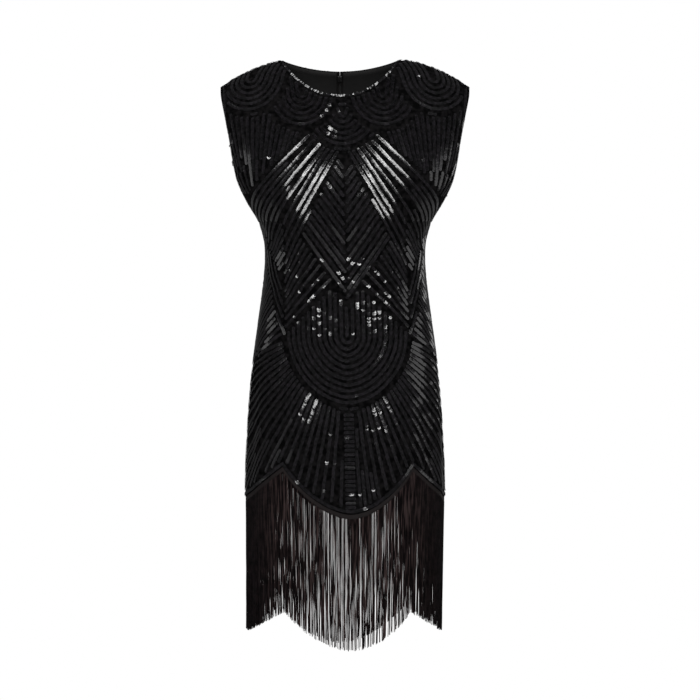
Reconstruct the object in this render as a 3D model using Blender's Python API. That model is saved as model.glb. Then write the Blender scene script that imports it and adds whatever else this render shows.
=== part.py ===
"""Sleeveless flapper dress with a scalloped, fringed hem, on its hollow worn form.

Metres, +Z up. The front faces -Y and the wearer's left is +X. The origin lies between the
shoulders, level with the middle of the shoulder seams, where a wearer holds the dress up.
"""
import math
from collections import namedtuple

import bmesh
import bpy
from mathutils import Matrix, Vector

MM = 0.001

# Cloth
SHELL_WALL = 1.6 * MM
LINING_WALL = 1.0 * MM
SEAM_GAP = 0.3 * MM
LINING_HEM_RISE = 10 * MM

# Shoulders, neck and underarm
NECK_POINT_HEIGHT = 0.019
NECK_CENTRE = -0.009
NECK_HALF_WIDTH = 0.102
SHOULDER_TIP_HEIGHT = -0.028
SHOULDER_SLOPE_START = 0.100
SHOULDER_TIP_REACH = 0.2175
SHOULDER_SLOPE_POWER = 1.65
UNDERARM_HEIGHT = -0.264
NECKLINE_LOWEST_FALL = 0.6

# Above the underarm: depth of the armhole edges as a share of the centre's, and how fast
# that share and the shoulder's slope fade away
ARMHOLE_DEPTH_SHARE = 0.42
SHOULDER_TIP_DEPTH_SHARE = 0.87
SHOULDER_TIP_POWER = 6
UNDERARM_POWER = 4
SHOULDER_SLOPE_REACH_POWER = 2

# Rings round the body: how far they are from a plain ellipse, towards a box
RING_SQUARENESS = 0.78

# Hem and fringe: the notches lie at this share of the way from centre to side seam
NOTCH_PLACE = 0.45
SCALLOP_POWER = 1.75
STRAND_COUNT = 100
STRAND_WIDTH = 1.8 * MM
STRAND_TIP_SHARE = 0.7
STRAND_LEAN = 0.030
STRAND_UNEVENNESS = 2.5 * MM
HEADING_GAP = 0.5 * MM
HEADING_HEIGHT = 8 * MM
HEADING_WALL = 1.2 * MM
HEADING_INSET = 0.2 * MM

# Back zip: all widths are measured from the seam, all depths inwards from the cloth's face
ZIP_END_HEIGHT = -0.42
COIL_HALF_WIDTH = 1.4 * MM
COIL_WALL = 1.3 * MM
TAPE_WIDTH = 3.0 * MM
TAPE_WALL = 0.8 * MM
SLIDER_HEIGHT = -0.008
SLIDER_SIZE = (7.5 * MM, 11.0 * MM, 3.0 * MM)
SLIDER_CLEARANCE = 1.3 * MM
SEAM_SPREAD = 1.0 * MM
SEAM_SPREAD_END = -0.030
CROWN_WIDTH = 1.0 * MM
CROWN_LENGTH = 6.0 * MM
CROWN_RISE = 3.4 * MM
CROWN_WINDOW = (3.0 * MM, 1.6 * MM)
PIVOT_RISE = 1.8 * MM
TAB_WIDTH = 5.0 * MM
TAB_LENGTH = 22.0 * MM
TAB_WALL = 1.0 * MM
TAB_SLOT = (1.9 * MM, 3.6 * MM)

Side = namedtuple("Side", "name forward top_depth rise_power neck_drop neck_power depths drift")
Width = namedtuple("Width", "height value")
Depth = namedtuple("Depth", "height value")
Scallop = namedtuple("Scallop", "centre notch side")

# Half width of the outline: down the armhole edges, then down the side seams
WIDTHS = (
    Width(-0.028, 0.2175),
    Width(-0.050, 0.2161),
    Width(-0.120, 0.2022),
    Width(-0.190, 0.1890),
    Width(-0.226, 0.1733),
    Width(-0.262, 0.1516),
    Width(-0.296, 0.1409),
    Width(-0.330, 0.1388),
    Width(-0.366, 0.1415),
    Width(-0.436, 0.1505),
    Width(-0.506, 0.1601),
    Width(-0.576, 0.1671),
    Width(-0.646, 0.1715),
    Width(-0.716, 0.1741),
    Width(-0.800, 0.1738),
)

# Depth of the centre line in front of and behind the side seams, below the underarm
FRONT_DEPTHS = (
    Depth(UNDERARM_HEIGHT, 0.133),
    Depth(-0.300, 0.128),
    Depth(-0.340, 0.120),
    Depth(-0.390, 0.111),
    Depth(-0.440, 0.113),
    Depth(-0.520, 0.120),
    Depth(-0.620, 0.126),
    Depth(-0.720, 0.127),
    Depth(-0.800, 0.125),
)
BACK_DEPTHS = (
    Depth(UNDERARM_HEIGHT, 0.105),
    Depth(-0.300, 0.099),
    Depth(-0.340, 0.089),
    Depth(-0.390, 0.080),
    Depth(-0.440, 0.087),
    Depth(-0.500, 0.105),
    Depth(-0.560, 0.115),
    Depth(-0.640, 0.117),
    Depth(-0.720, 0.116),
    Depth(-0.800, 0.114),
)

# drift: sideways place of the centre line at the origin's level and at the hem's centre point
FRONT = Side("front", -1, 0.133, 0.70, 0.0636, 2.3, FRONT_DEPTHS, (-0.0065, 0.0105))
BACK = Side("back", 1, 0.105, 0.45, 0.0180, 2.0, BACK_DEPTHS, (-0.0090, -0.0090))

HEM = Scallop(centre=-0.772, notch=-0.690, side=-0.745)
FRINGE_END = Scallop(centre=-1.008, notch=-0.942, side=-0.978)

# Grid of each panel: columns from centre to neck point to notch to side seam, and rows
NECK_COLUMNS = 5
SHOULDER_COLUMNS = 2
SIDE_COLUMNS = 4
YOKE_ROWS = 9
BODY_ROWS = 12
BODY_ROW_SPREAD = 1.3
HALVINGS = 40


# ---------------------------------------------------------------- worn form

def read_table(table, height):
    """Value at a height, on a smooth curve through a table whose heights fall."""
    last = len(table) - 1
    if height >= table[0].height:
        return table[0].value
    if height <= table[last].height:
        return table[last].value
    index = 0
    while height < table[index + 1].height:
        index += 1

    def slope(row):
        if row in (0, last):
            return 0.0
        rise = table[row + 1].value - table[row - 1].value
        return rise / (table[row + 1].height - table[row - 1].height)

    upper, lower = table[index], table[index + 1]
    span = lower.height - upper.height
    u = (height - upper.height) / span
    start = (2 * u ** 3 - 3 * u ** 2 + 1) * upper.value
    start += (u ** 3 - 2 * u ** 2 + u) * span * slope(index)
    end = (3 * u ** 2 - 2 * u ** 3) * lower.value
    end += (u ** 3 - u ** 2) * span * slope(index + 1)
    return start + end


def mix(start, end, share):
    return start + (end - start) * share


def shoulder_height(x):
    reach = (abs(x) - SHOULDER_SLOPE_START) / (SHOULDER_TIP_REACH - SHOULDER_SLOPE_START)
    drop = NECK_POINT_HEIGHT - SHOULDER_TIP_HEIGHT
    return NECK_POINT_HEIGHT - drop * max(reach, 0.0) ** SHOULDER_SLOPE_POWER


def neckline_height(side, x):
    reach = min(abs(x - NECK_CENTRE) / NECK_HALF_WIDTH, 1.0)
    return NECK_POINT_HEIGHT - side.neck_drop * (1 - reach ** side.neck_power)


def centre_drift(side, height):
    return mix(side.drift[0], side.drift[1], height / HEM.centre)


def ring_point(side, across, height, half_width, centre_depth, edge_depth=0.0, edge_power=1.0):
    """Point of a ring: across is -1 at the wearer's right edge, 0 at the centre, 1 at the left."""
    angle = math.radians(90) * across
    bulge = max(math.cos(angle), 0.0) ** RING_SQUARENESS
    x = half_width * math.sin(angle) + centre_drift(side, height) * math.cos(angle) ** 2
    depth = centre_depth * bulge + edge_depth * (1 - bulge) ** edge_power
    return Vector((x, side.forward * (SEAM_GAP / 2 + depth), height))


def yoke_point(side, across, fall):
    """Point above the underarm: fall is 0 on the shoulder line and 1 level with the underarm."""
    edge_height = mix(SHOULDER_TIP_HEIGHT, UNDERARM_HEIGHT, fall)
    depth = side.top_depth * (1 - (1 - fall) ** 2) ** side.rise_power
    tip_share = (1 - fall) ** SHOULDER_TIP_POWER
    edge_share = mix(ARMHOLE_DEPTH_SHARE, SHOULDER_TIP_DEPTH_SHARE, tip_share)
    edge_depth = depth * edge_share * math.sqrt(1 - fall ** UNDERARM_POWER)
    edge_power = 1 + fall ** 2
    width = read_table(WIDTHS, edge_height)
    point = ring_point(side, across, edge_height, width, depth, edge_depth, edge_power)
    slope_share = (1 - fall) ** SHOULDER_SLOPE_REACH_POWER
    point.z = edge_height + (shoulder_height(point.x) - SHOULDER_TIP_HEIGHT) * slope_share
    return point


def body_point(side, across, height):
    """Point below the underarm."""
    depth = read_table(side.depths, height)
    return ring_point(side, across, height, read_table(WIDTHS, height), depth)


def neckline_fall(side, across):
    """How far down the neck opening cuts a column, as a fall; 0 on the shoulder seam."""
    top = yoke_point(side, across, 0.0)
    if abs(top.x - NECK_CENTRE) >= NECK_HALF_WIDTH:
        return 0.0
    low, high = 0.0, NECKLINE_LOWEST_FALL
    for _ in range(HALVINGS):
        middle = (low + high) / 2
        point = yoke_point(side, across, middle)
        if point.z > neckline_height(side, point.x):
            low = middle
        else:
            high = middle
    return low


def neck_place(side, sign):
    """Place across, from -1 to 1, of the neck point on one side of the neck."""
    target = NECK_CENTRE + sign * NECK_HALF_WIDTH
    low, high = 0.0, 1.0
    for _ in range(HALVINGS):
        middle = (low + high) / 2
        if sign * (yoke_point(side, sign * middle, 0.0).x - target) < 0:
            low = middle
        else:
            high = middle
    return sign * high


def scallop_height(scallop, across):
    reach = abs(across)
    if reach < NOTCH_PLACE:
        rise = (reach / NOTCH_PLACE) ** SCALLOP_POWER
        return mix(scallop.centre, scallop.notch, rise)
    rise = ((1 - reach) / (1 - NOTCH_PLACE)) ** SCALLOP_POWER
    return mix(scallop.side, scallop.notch, rise)


def form_point(side, across, down):
    """Point on the cloth's face: down is 0 at the top edge, 1 at the underarm, 2 at the hem."""
    if down <= 1:
        return yoke_point(side, across, mix(neckline_fall(side, across), 1.0, down))
    return body_point(side, across, mix(UNDERARM_HEIGHT, scallop_height(HEM, across), down - 1))


def form_normal(side, across, down):
    """Outward direction of the cloth's face."""
    step = 0.002
    left, right = max(across - step, -1), min(across + step, 1)
    above, below = max(down - step, 0), down + step
    if down >= 1:
        above = max(above, 1)
    else:
        below = min(below, 1)
    run = form_point(side, right, down) - form_point(side, left, down)
    fall = form_point(side, across, below) - form_point(side, across, above)
    return (fall.cross(run) * -side.forward).normalized()


def layer_point(side, across, down, depth):
    """Point at a depth inside the cloth's face, kept on its own side of the seams."""
    point = form_point(side, across, down) - form_normal(side, across, down) * depth
    if side is FRONT:
        point.y = min(point.y, -SEAM_GAP / 2)
    else:
        point.y = max(point.y, SEAM_GAP / 2)
    return point


# ---------------------------------------------------------------- grids

def half_columns(side, sign):
    """Places across from the centre line to one side seam."""
    neck = abs(neck_place(side, sign))
    places = [neck * k / NECK_COLUMNS for k in range(NECK_COLUMNS)]
    places += [mix(neck, NOTCH_PLACE, k / SHOULDER_COLUMNS) for k in range(SHOULDER_COLUMNS)]
    places += [mix(NOTCH_PLACE, 1.0, k / SIDE_COLUMNS) for k in range(SIDE_COLUMNS + 1)]
    return [sign * place for place in places]


def panel_rows():
    yoke = [(1 - math.cos(math.pi * k / YOKE_ROWS)) / 2 for k in range(YOKE_ROWS)]
    body = [1 + (k / BODY_ROWS) ** BODY_ROW_SPREAD for k in range(BODY_ROWS + 1)]
    return yoke + body


def seam_spread(height):
    """Half the gap in the centre back seam, held open at the top by the zip's slider."""
    if height >= SLIDER_HEIGHT:
        return SEAM_SPREAD
    share = (height - SEAM_SPREAD_END) / (SLIDER_HEIGHT - SEAM_SPREAD_END)
    return mix(SEAM_GAP / 2, SEAM_SPREAD, max(share, 0.0))


def lining_setback(height):
    """How far the back lining's edge lies from the centre seam, clear of the zip's tapes."""
    beside_zip = COIL_HALF_WIDTH + SEAM_GAP + TAPE_WIDTH + SEAM_GAP
    return beside_zip if height > ZIP_END_HEIGHT else SEAM_GAP / 2


def layer_grid(side, columns, rows, depth, edge_offset=None):
    """Rows of points at a depth; edge_offset moves the centre column off the centre seam."""
    grid = []
    for down in rows:
        line = [layer_point(side, across, down, depth) for across in columns]
        if edge_offset:
            outward = math.copysign(1.0, columns[-1])
            line[0].x += outward * edge_offset(line[0].z)
        grid.append(line)
    return grid


def lining_grid(side, columns, rows, depth, edge_offset=None):
    """Grid of a lining, which ends a little above the shell's hem."""
    grid = layer_grid(side, columns, rows, depth, edge_offset)
    for column, point in enumerate(grid[-1]):
        upper = grid[-2][column]
        share = LINING_HEM_RISE / (upper.z - point.z)
        grid[-1][column] = point.lerp(upper, share)
    return grid


# ---------------------------------------------------------------- objects

def material(name, colour, roughness, metallic=0.0):
    made = bpy.data.materials.new(name)
    made.use_nodes = True
    shader = made.node_tree.nodes["Principled BSDF"]
    shader.inputs["Base Color"].default_value = (*colour, 1.0)
    shader.inputs["Roughness"].default_value = roughness
    shader.inputs["Metallic"].default_value = metallic
    return made


def finish_object(name, mesh_data, look, smooth_angle=40):
    """Object with outward faces and round places shaded smooth."""
    bmesh.ops.recalc_face_normals(mesh_data, faces=mesh_data.faces)
    mesh = bpy.data.meshes.new(name)
    mesh_data.to_mesh(mesh)
    mesh_data.free()
    mesh.materials.append(look)
    mesh.shade_smooth()
    mesh.set_sharp_from_angle(angle=math.radians(smooth_angle))
    made = bpy.data.objects.new(name, mesh)
    bpy.context.scene.collection.objects.link(made)
    return made


def wall_object(name, outer, inner, look):
    """Closed wall between two grids of points."""
    shape = bmesh.new()
    faces = [[[shape.verts.new(point) for point in line] for line in grid]
             for grid in (outer, inner)]
    last_row, last_column = len(outer) - 1, len(outer[0]) - 1
    for face in faces:
        for upper, lower in zip(face, face[1:]):
            for k in range(last_column):
                shape.faces.new((upper[k], upper[k + 1], lower[k]))
                shape.faces.new((upper[k + 1], lower[k + 1], lower[k]))
    top_to_bottom = [(row, 0) for row in range(last_row)]
    along_bottom = [(last_row, column) for column in range(last_column)]
    bottom_to_top = [(row, last_column) for row in range(last_row, 0, -1)]
    along_top = [(0, column) for column in range(last_column, 0, -1)]
    rim = top_to_bottom + along_bottom + bottom_to_top + along_top
    for (row, column), (next_row, next_column) in zip(rim, rim[1:] + rim[:1]):
        shape.faces.new((
            faces[0][row][column],
            faces[0][next_row][next_column],
            faces[1][next_row][next_column],
            faces[1][row][column],
        ))
    return finish_object(name, shape, look)


def make_front_panels(shell_look, lining_look):
    columns = half_columns(FRONT, -1)[:0:-1] + half_columns(FRONT, 1)
    rows = panel_rows()
    lining_depth = SHELL_WALL + SEAM_GAP
    wall_object(
        "shell_front",
        layer_grid(FRONT, columns, rows, 0.0),
        layer_grid(FRONT, columns, rows, SHELL_WALL),
        shell_look)
    wall_object(
        "lining_front",
        lining_grid(FRONT, columns, rows, lining_depth),
        lining_grid(FRONT, columns, rows, lining_depth + LINING_WALL),
        lining_look)


def make_back_panels(shell_look, lining_look):
    rows = panel_rows()
    lining_depth = SHELL_WALL + SEAM_GAP
    for label, sign in (("left", 1), ("right", -1)):
        columns = half_columns(BACK, sign)
        wall_object(
            f"shell_back_{label}",
            layer_grid(BACK, columns, rows, 0.0, seam_spread),
            layer_grid(BACK, columns, rows, SHELL_WALL, seam_spread),
            shell_look)
        wall_object(
            f"lining_back_{label}",
            lining_grid(BACK, columns, rows, lining_depth, lining_setback),
            lining_grid(BACK, columns, rows, lining_depth + LINING_WALL, lining_setback),
            lining_look)


# ---------------------------------------------------------------- fringe

def heading_point(side, across, drop, depth):
    """Point of the fringe's heading strip, below the hem's edge."""
    height = scallop_height(HEM, across) - HEADING_GAP - drop
    point = body_point(side, across, height) - form_normal(side, across, 2.0) * depth
    point.y = side.forward * max(side.forward * point.y, SEAM_GAP / 2)
    return point


def places_by_length(side, distances):
    """Places across that lie at shares of the hem's length from one side seam to the other."""
    samples = 400
    places = [2 * k / samples - 1 for k in range(samples + 1)]
    flat = [body_point(side, place, HEM.notch).to_2d() for place in places]
    lengths = [0.0]
    for start, end in zip(flat, flat[1:]):
        lengths.append(lengths[-1] + (end - start).length)
    result = []
    index = 0
    for distance in distances:
        goal = distance * lengths[-1]
        while index < samples - 1 and lengths[index + 1] < goal:
            index += 1
        share = (goal - lengths[index]) / (lengths[index + 1] - lengths[index])
        result.append(mix(places[index], places[index + 1], share))
    return result, lengths[-1]


def strand_ring(root, side, across, share, number):
    """Corners of a strand at a share of its length, hanging from its four root corners."""
    middle = sum(root, Vector()) / 4
    wave = math.sin(number * 2.4) + 0.6 * math.sin(number * 5.3)
    end_height = scallop_height(FRINGE_END, across) + STRAND_UNEVENNESS * max(wave, 0.0)
    lean = 1 - STRAND_LEAN * share
    width = mix(1.0, STRAND_TIP_SHARE, share)
    centre = Vector((middle.x * lean, middle.y * lean, mix(middle.z, end_height, share)))
    corners = []
    for corner in root:
        spread = (corner - middle) * width
        corners.append(centre + Vector((spread.x, spread.y, spread.z * (1 - share))))
    return corners


def make_fringe(side, look):
    """Narrow heading strip along half the hem, with its strands fused to its lower edge."""
    _, length = places_by_length(side, (0.0,))
    pitch = 1 / STRAND_COUNT
    width = STRAND_WIDTH / length
    stations = [0.0]
    for k in range(STRAND_COUNT):
        stations += [(k + 0.5) * pitch - width / 2, (k + 0.5) * pitch + width / 2]
    stations.append(1.0)
    places, _ = places_by_length(side, stations)

    shape = bmesh.new()
    outside, inside = HEADING_INSET, HEADING_INSET + HEADING_WALL
    section = ((0.0, outside), (HEADING_HEIGHT, outside), (HEADING_HEIGHT, inside), (0.0, inside))
    rings = [[shape.verts.new(heading_point(side, place, drop, depth)) for drop, depth in section]
             for place in places]
    shape.faces.new(rings[0])
    shape.faces.new(rings[-1])
    for k, (ring, following) in enumerate(zip(rings, rings[1:])):
        for start, end in ((0, 1), (2, 3), (3, 0)):
            shape.faces.new((ring[start], ring[end], following[end], following[start]))
        root = (ring[1], following[1], following[2], ring[2])
        if k % 2 == 0:
            shape.faces.new(root)
            continue
        across = (places[k] + places[k + 1]) / 2
        root_points = [vertex.co.copy() for vertex in root]
        above = list(root)
        for share in (0.5, 1.0):
            below = [shape.verts.new(point)
                     for point in strand_ring(root_points, side, across, share, k)]
            for start in range(4):
                end = (start + 1) % 4
                shape.faces.new((above[start], above[end], below[end], below[start]))
            above = below
        shape.faces.new(above)
    finish_object(f"fringe_{side.name}", shape, look)


# ---------------------------------------------------------------- zip

def seam_line(depth):
    """Points down the centre back seam at a depth, one for each row that the zip passes."""
    line = []
    for down in panel_rows():
        point = form_point(BACK, 0.0, down)
        if point.z > ZIP_END_HEIGHT:
            line.append(point - form_normal(BACK, 0.0, down) * depth)
    return line


def rows_above(height):
    """Number of rows, with a fraction, between the neck edge and a height on the seam."""
    line = seam_line(0.0)
    row = 0
    while line[row + 1].z > height:
        row += 1
    return row + (line[row].z - height) / (line[row].z - line[row + 1].z)


def zip_strip(name, left, right, depth, wall, look, skipped=0.0):
    """Flat strip down the seam, inside the cloth, from a number of rows below the neck edge."""
    grids = []
    for layer in (depth, depth + wall):
        line = seam_line(layer)
        first = int(skipped)
        top = line[first].lerp(line[first + 1], skipped - first)
        line = [top] + line[first + 1:]
        grids.append([[point + Vector((x, 0, 0)) for x in (left, right)] for point in line])
    wall_object(name, grids[0], grids[1], look)


def slider_frame():
    """Frame at the slider: X across, Y out of the cloth, Z up along the back."""
    low, high = 0.0, 1.0
    for _ in range(HALVINGS):
        middle = (low + high) / 2
        if form_point(BACK, 0.0, middle).z > SLIDER_HEIGHT:
            low = middle
        else:
            high = middle
    out = form_normal(BACK, 0.0, low)
    across = Vector((1, 0, 0))
    up = across.cross(out)
    frame = Matrix((across, out, up)).transposed().to_4x4()
    frame.translation = form_point(BACK, 0.0, low)
    return frame


def block(size, centre):
    """Box as a bmesh, with its size and centre along its own axes."""
    shape = bmesh.new()
    bmesh.ops.create_cube(shape, size=1.0)
    bmesh.ops.scale(shape, vec=size, verts=shape.verts)
    bmesh.ops.translate(shape, vec=centre, verts=shape.verts)
    return shape


def helper_block(name, size, centre, frame):
    """Hidden box that a Boolean joins on or cuts away."""
    shape = block(size, centre)
    mesh = bpy.data.meshes.new(name)
    shape.to_mesh(mesh)
    shape.free()
    made = bpy.data.objects.new(name, mesh)
    made.matrix_world = frame
    made.hide_render = True
    made.display_type = "WIRE"
    bpy.context.scene.collection.objects.link(made)
    return made


def add_boolean(target, operation, tool):
    modifier = target.modifiers.new(operation.lower(), "BOOLEAN")
    modifier.operation = operation
    modifier.solver = "EXACT"
    modifier.object = tool


def make_zip_slider(frame, look):
    """Slider body inside the back, with the crown that reaches out through the seam."""
    width, length, wall = SLIDER_SIZE
    face = SHELL_WALL + SEAM_GAP + TAPE_WALL + SLIDER_CLEARANCE
    body = block((width, wall, length), (0, -face - wall / 2, 0))
    bmesh.ops.bevel(body, geom=body.edges, offset=0.5 * MM, segments=1, affect="EDGES")
    slider = finish_object("zip_slider", body, look)
    slider.matrix_world = frame
    foot = face + wall / 2
    crown_size = (CROWN_WIDTH, foot + CROWN_RISE, CROWN_LENGTH)
    crown = helper_block("crown", crown_size, (0, (CROWN_RISE - foot) / 2, 0), frame)
    add_boolean(slider, "UNION", crown)
    window_size = (width, CROWN_WINDOW[1], CROWN_WINDOW[0])
    window = helper_block("crown_window", window_size, (0, PIVOT_RISE, 0), frame)
    add_boolean(slider, "DIFFERENCE", window)


def make_pull_tab(frame, look):
    """Pull tab hanging by its top bar in the crown's window; its origin is on that bar."""
    bar = TAB_WALL / 2
    shape = block((TAB_WIDTH, TAB_WALL, TAB_LENGTH), (0, 0, bar - TAB_LENGTH / 2))
    lower = [edge for edge in shape.edges
             if all(vertex.co.z < -TAB_LENGTH / 2 for vertex in edge.verts)
             and abs(edge.verts[0].co.x - edge.verts[1].co.x) < MM]
    bmesh.ops.bevel(shape, geom=lower, offset=1.8 * MM, segments=4, affect="EDGES")
    tab = finish_object("zip_pull_tab", shape, look)
    place = frame.copy()
    place.translation = frame @ Vector((0, PIVOT_RISE, 0))
    tab.matrix_world = place
    slot_width, slot_length = TAB_SLOT
    slot_size = (slot_width, 3 * TAB_WALL, slot_length)
    slot = helper_block("tab_slot", slot_size, (0, 0, -bar - slot_length / 2), place)
    add_boolean(tab, "DIFFERENCE", slot)


def make_zip(tape_look, metal_look):
    frame = slider_frame()
    depth = SHELL_WALL + SEAM_GAP
    inner = COIL_HALF_WIDTH + SEAM_GAP
    outer = inner + TAPE_WIDTH
    zip_strip("zip_tape_left", inner, outer, depth, TAPE_WALL, tape_look)
    zip_strip("zip_tape_right", -outer, -inner, depth, TAPE_WALL, tape_look)
    up = frame.col[2]
    coil_top = SLIDER_HEIGHT - (CROWN_LENGTH / 2 + 2 * SEAM_GAP) * up.z
    zip_strip("zip_coil", -COIL_HALF_WIDTH, COIL_HALF_WIDTH, depth, COIL_WALL, tape_look,
              rows_above(coil_top))
    make_zip_slider(frame, metal_look)
    make_pull_tab(frame, metal_look)


def main():
    for old in list(bpy.data.objects):
        bpy.data.objects.remove(old, do_unlink=True)
    shell_look = material("black_beaded_net", (0.012, 0.012, 0.014), 0.35)
    lining_look = material("black_lining", (0.010, 0.010, 0.010), 0.55)
    fringe_look = material("black_fringe", (0.014, 0.010, 0.011), 0.60)
    tape_look = material("black_zip_tape", (0.010, 0.010, 0.010), 0.70)
    metal_look = material("zip_slider_metal", (0.09, 0.09, 0.09), 0.35, metallic=1.0)
    make_front_panels(shell_look, lining_look)
    make_back_panels(shell_look, lining_look)
    make_fringe(FRONT, fringe_look)
    make_fringe(BACK, fringe_look)
    make_zip(tape_look, metal_look)


main()
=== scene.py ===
import math
from collections import namedtuple
from itertools import product, repeat

import bpy
import numpy as np
from mathutils import Matrix


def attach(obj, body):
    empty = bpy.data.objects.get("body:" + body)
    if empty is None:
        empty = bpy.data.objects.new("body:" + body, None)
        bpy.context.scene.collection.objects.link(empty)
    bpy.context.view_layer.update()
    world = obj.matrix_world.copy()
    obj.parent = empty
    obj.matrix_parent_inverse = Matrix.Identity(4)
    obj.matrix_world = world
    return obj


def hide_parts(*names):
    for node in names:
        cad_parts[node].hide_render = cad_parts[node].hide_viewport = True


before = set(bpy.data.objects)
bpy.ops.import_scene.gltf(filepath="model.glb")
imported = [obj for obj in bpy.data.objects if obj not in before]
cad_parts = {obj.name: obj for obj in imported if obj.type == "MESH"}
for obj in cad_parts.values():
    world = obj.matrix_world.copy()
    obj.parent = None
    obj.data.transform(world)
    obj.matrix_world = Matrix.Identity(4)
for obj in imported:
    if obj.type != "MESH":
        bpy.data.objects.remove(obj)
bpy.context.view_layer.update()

MM = 0.001

# The worn form, as in the part's source. Heights and widths in metres.
NECK_POINT_HEIGHT = 0.019
NECK_CENTRE = -0.009
NECK_HALF_WIDTH = 0.102
NECKLINE_LOWEST_FALL = 0.6
HALVINGS = 40
SHOULDER_TIP_HEIGHT = -0.028
SHOULDER_SLOPE_START = 0.100
SHOULDER_TIP_REACH = 0.2175
SHOULDER_SLOPE_POWER = 1.65
SHOULDER_SLOPE_REACH_POWER = 2
UNDERARM_HEIGHT = -0.264
ARMHOLE_DEPTH_SHARE = 0.42
SHOULDER_TIP_DEPTH_SHARE = 0.87
SHOULDER_TIP_POWER = 6
UNDERARM_POWER = 4
RING_SQUARENESS = 0.78
NOTCH_PLACE = 0.45
SCALLOP_POWER = 1.75
SEAM_GAP = 0.3 * MM
ONTO_NECKLINE = 1e-4

WIDTHS = (
    (-0.028, 0.2175), (-0.050, 0.2161), (-0.120, 0.2022), (-0.190, 0.1890), (-0.226, 0.1733),
    (-0.262, 0.1516), (-0.296, 0.1409), (-0.330, 0.1388), (-0.366, 0.1415), (-0.436, 0.1505),
    (-0.506, 0.1601), (-0.576, 0.1671), (-0.646, 0.1715), (-0.716, 0.1741), (-0.800, 0.1738),
)
FRONT_DEPTHS = (
    (UNDERARM_HEIGHT, 0.133), (-0.300, 0.128), (-0.340, 0.120), (-0.390, 0.111),
    (-0.440, 0.113), (-0.520, 0.120), (-0.620, 0.126), (-0.720, 0.127), (-0.800, 0.125),
)
BACK_DEPTHS = (
    (UNDERARM_HEIGHT, 0.105), (-0.300, 0.099), (-0.340, 0.089), (-0.390, 0.080),
    (-0.440, 0.087), (-0.500, 0.105), (-0.560, 0.115), (-0.640, 0.117), (-0.720, 0.116),
    (-0.800, 0.114),
)
Side = namedtuple("Side", "name forward top_depth rise_power neck_drop neck_power depths drift")
Scallop = namedtuple("Scallop", "centre notch side")
FRONT = Side("front", -1, 0.133, 0.70, 0.0636, 2.3, FRONT_DEPTHS, (-0.0065, 0.0105))
BACK = Side("back", 1, 0.105, 0.45, 0.0180, 2.0, BACK_DEPTHS, (-0.0090, -0.0090))
HEM = Scallop(centre=-0.772, notch=-0.690, side=-0.745)
FRINGE_END = Scallop(centre=-1.008, notch=-0.942, side=-0.978)

# Creases in each panel: start and end as distance round from the centre line and height,
# then width and depth, all in millimetres. A minus depth is a ridge.
CREASES = {
    "front": (
        (228, -268, 132, -312, 13, 2.6), (-228, -262, -118, -322, 15, 3.0),
        (224, -232, 150, -250, 12, 1.8), (-220, -226, -158, -240, 12, 1.8),
        (205, -366, 112, -382, 12, 2.0), (208, -396, 96, -404, 11, 2.2),
        (-207, -372, -104, -390, 13, 2.3), (-205, -404, -126, -410, 10, 1.7),
        (60, -386, -48, -394, 13, 1.1), (-186, -560, -196, -742, 15, 3.0),
        (-92, -620, -88, -740, 14, 2.2), (-30, -655, -33, -772, 15, 1.8),
        (52, -640, 58, -765, 13, 2.1), (138, -600, 146, -725, 14, 2.6),
        (212, -540, 206, -740, 15, 3.1), (178, -590, 181, -735, 13, -2.0),
        (-142, -610, -140, -725, 13, -2.0),
    ),
    "back": (
        (212, -262, 120, -300, 14, 2.6), (-212, -258, -126, -308, 13, 2.4),
        (196, -352, 62, -372, 13, 2.6), (190, -386, 52, -394, 12, 2.4),
        (-196, -358, -58, -366, 13, 2.4), (-192, -390, -70, -402, 12, 2.6),
        (-120, -418, -40, -426, 11, 1.6), (182, -560, 190, -742, 15, 2.8),
        (96, -600, 90, -732, 14, 2.4), (42, -640, 44, -762, 14, 2.0),
        (-38, -630, -44, -762, 14, 2.2), (-108, -610, -104, -728, 14, 2.4),
        (-176, -570, -184, -740, 15, 2.9), (140, -600, 142, -728, 12, -1.8),
        (-144, -600, -148, -728, 12, -1.8),
    ),
}
CREASE_END_SHARE = 0.35
CREASE_FADE, CREASE_TOP_FADE = 25, 40
CREASE_ZIP_CLEAR, CREASE_ZIP_FADE = 12, 30

# Rows of sequins, in millimetres on the cloth
ROW_PITCH = 9.6
SEQUIN_PITCH = 2.8
LEAST_PLACES, LEAST_SEQUINS, LEAST_FILLERS = 4, 4, 10
ROW_CLEAR, FILLER_CLEAR = (5.8, 7.2), (6.9, 9.4)
SEQUIN_RADIUS = 3.1
RAY_SEQUIN_RADIUS = 2.8
SEQUIN_HOLE = 0.5
SEQUIN_CUP = 0.03
SEQUIN_SIDES = 8
SEQUIN_TILT = 12.0
SEQUIN_UNEVENNESS = 0.7
ROW_UNEVENNESS = 2.0
SEQUIN_LIFT = 0.85
SEQUIN_SIZE_SPREAD = 0.06
SEQUIN_SWAY = 0.2
ROW_WANDER, ROW_WANDER_SPACING = 0.2, 7
RISING = 0.1
SEQUIN_SPLIT = -400

# Sequins that have worked loose and stand at their own angle: their share everywhere, and
# in the places that crumple most, as ovals
LOOSE_SHARE = 0.003
LOOSE_RISE, LOOSE_UNEVENNESS = 22.0, 5.5
LOOSE_FACING, LOOSE_RUN = (0.4, 1, 0), (1, 3)
Oval = namedtuple("Oval", "x z across down share")
CRUMPLED = (
    Oval(-62, -368, 52, 48, 0.13), Oval(34, -372, 66, 52, 0.15), Oval(-10, -425, 104, 40, 0.20),
    Oval(-26, -92, 17, 36, 0.22), Oval(-66, -598, 16, 22, 0.22), Oval(52, -602, 34, 28, 0.12),
    Oval(24, -660, 70, 52, 0.03), Oval(-185, -140, 22, 40, 0.05),
)

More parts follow.
